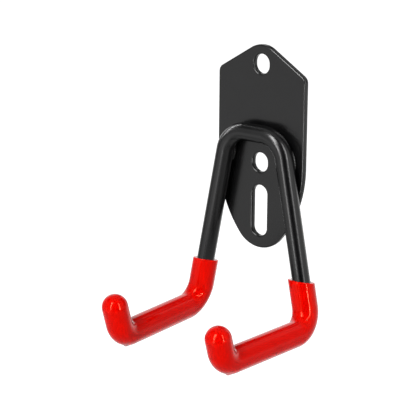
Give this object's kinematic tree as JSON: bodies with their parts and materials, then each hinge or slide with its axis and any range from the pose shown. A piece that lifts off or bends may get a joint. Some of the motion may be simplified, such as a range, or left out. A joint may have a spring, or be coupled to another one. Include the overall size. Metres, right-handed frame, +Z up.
{
  "type": "double u-hook",
  "caption": "Wall-mounted double hook: a bent round steel bar welded to a slotted plate, with soft sleeves over both upturned arms.",
  "frame": {"origin": "centre of the plate's back face, on the wall", "axes": "+Z up, +X to the right as seen from the front, +Y into the wall, so the hooks point along -Y"},
  "size_m": [0.0904, 0.0934, 0.1614],
  "materials": {
    "black_steel": "satin black powder coat",
    "red_pvc": "glossy red soft PVC"
  },
  "bodies": {
    "root": {"back_plate": "black_steel", "hook_bar": "black_steel", "left_inner_weld": "black_steel", "left_outer_weld": "black_steel", "right_inner_weld": "black_steel", "right_outer_weld": "black_steel", "left_sleeve": "red_pvc", "right_sleeve": "red_pvc"}
  },
  "joints": []
}
